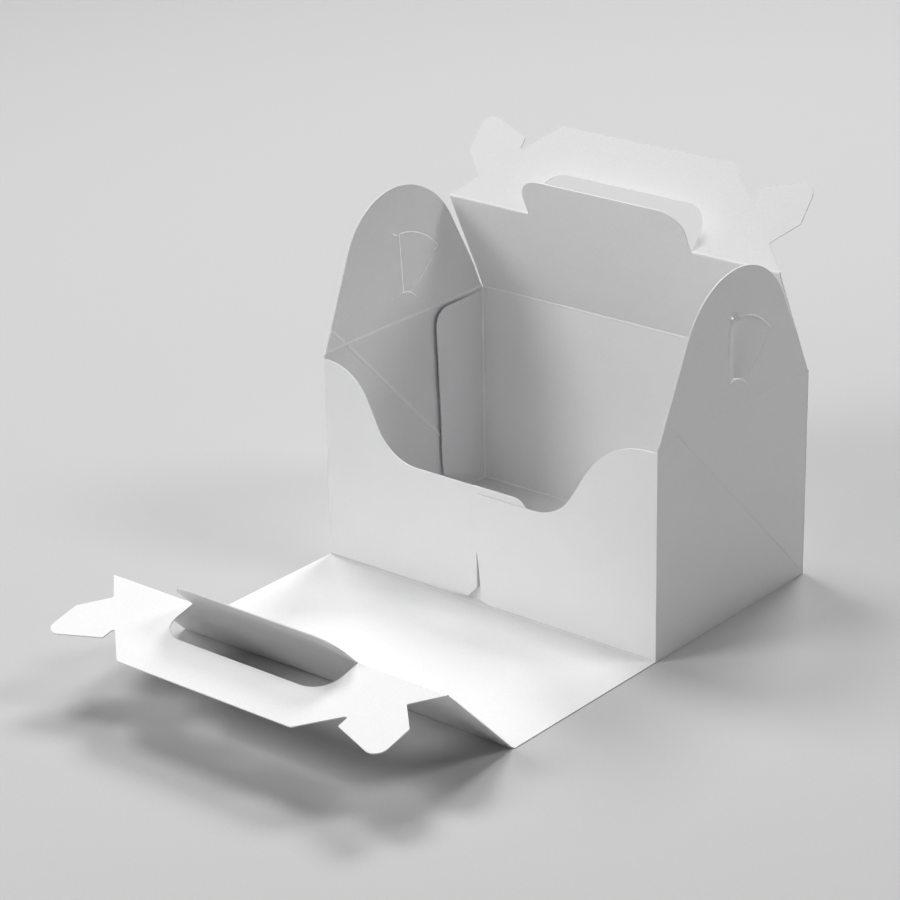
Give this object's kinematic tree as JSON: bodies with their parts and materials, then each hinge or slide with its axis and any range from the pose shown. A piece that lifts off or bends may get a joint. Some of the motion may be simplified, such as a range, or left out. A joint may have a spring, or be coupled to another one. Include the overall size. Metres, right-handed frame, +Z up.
{
  "type": "pastry box with fold-up handles",
  "caption": "Open folding carton with a drop-down front, hinged roof panels, cut-out carrying handles and rounded lock gables.",
  "frame": {"origin": "middle of the box floor, on the surface that the box stands on", "axes": "+X to the right seen from the front, +Y from the front to the back, +Z up"},
  "size_m": [0.1904, 0.3034, 0.1859],
  "materials": {
    "board": "matt white"
  },
  "bodies": {
    "tray": {"tray": "board"},
    "left_gable": {"left_gable": "board"},
    "right_gable": {"right_gable": "board"},
    "front_panel": {"front_panel": "board"},
    "front_roof": {"front_roof": "board"},
    "front_handle": {"front_handle": "board"},
    "back_roof": {"back_roof": "board"},
    "back_handle": {"back_handle": "board"}
  },
  "joints": [
    {"name": "front_panel_crease", "type": "hinge", "parent": "tray", "child": "front_panel", "pos_m": [0, -0.05805, 0.00025], "axis": [-1, 0, 0], "range_deg": [0, 90]},
    {"name": "front_roof_crease", "type": "hinge", "parent": "front_panel", "child": "front_roof", "pos_m": [0, -0.15605, 0.00025], "axis": [-1, 0, 0], "range_deg": [-45, 44.35]},
    {"name": "front_handle_fold", "type": "hinge", "parent": "front_roof", "child": "front_handle", "pos_m": [0, -0.19682, 0.04102], "axis": [1, 0, 0], "range_deg": [-57.8, 31.55]},
    {"name": "back_roof_crease", "type": "hinge", "parent": "tray", "child": "back_roof", "pos_m": [0, 0.05725, 0.1], "axis": [1, 0, 0], "range_deg": [-115, 65]},
    {"name": "back_handle_fold", "type": "hinge", "parent": "back_roof", "child": "back_handle", "pos_m": [0, 0.03322, 0.15152], "axis": [-1, 0, 0], "range_deg": [-65.5, 24.5]},
    {"name": "left_gable_crease", "type": "hinge", "parent": "tray", "child": "left_gable", "pos_m": [-0.09275, 0, 0.1], "axis": [0, -1, 0], "range_deg": [-94, 86]},
    {"name": "right_gable_crease", "type": "hinge", "parent": "tray", "child": "right_gable", "pos_m": [0.09275, 0, 0.1], "axis": [0, 1, 0], "range_deg": [-90, 90]}
  ]
}
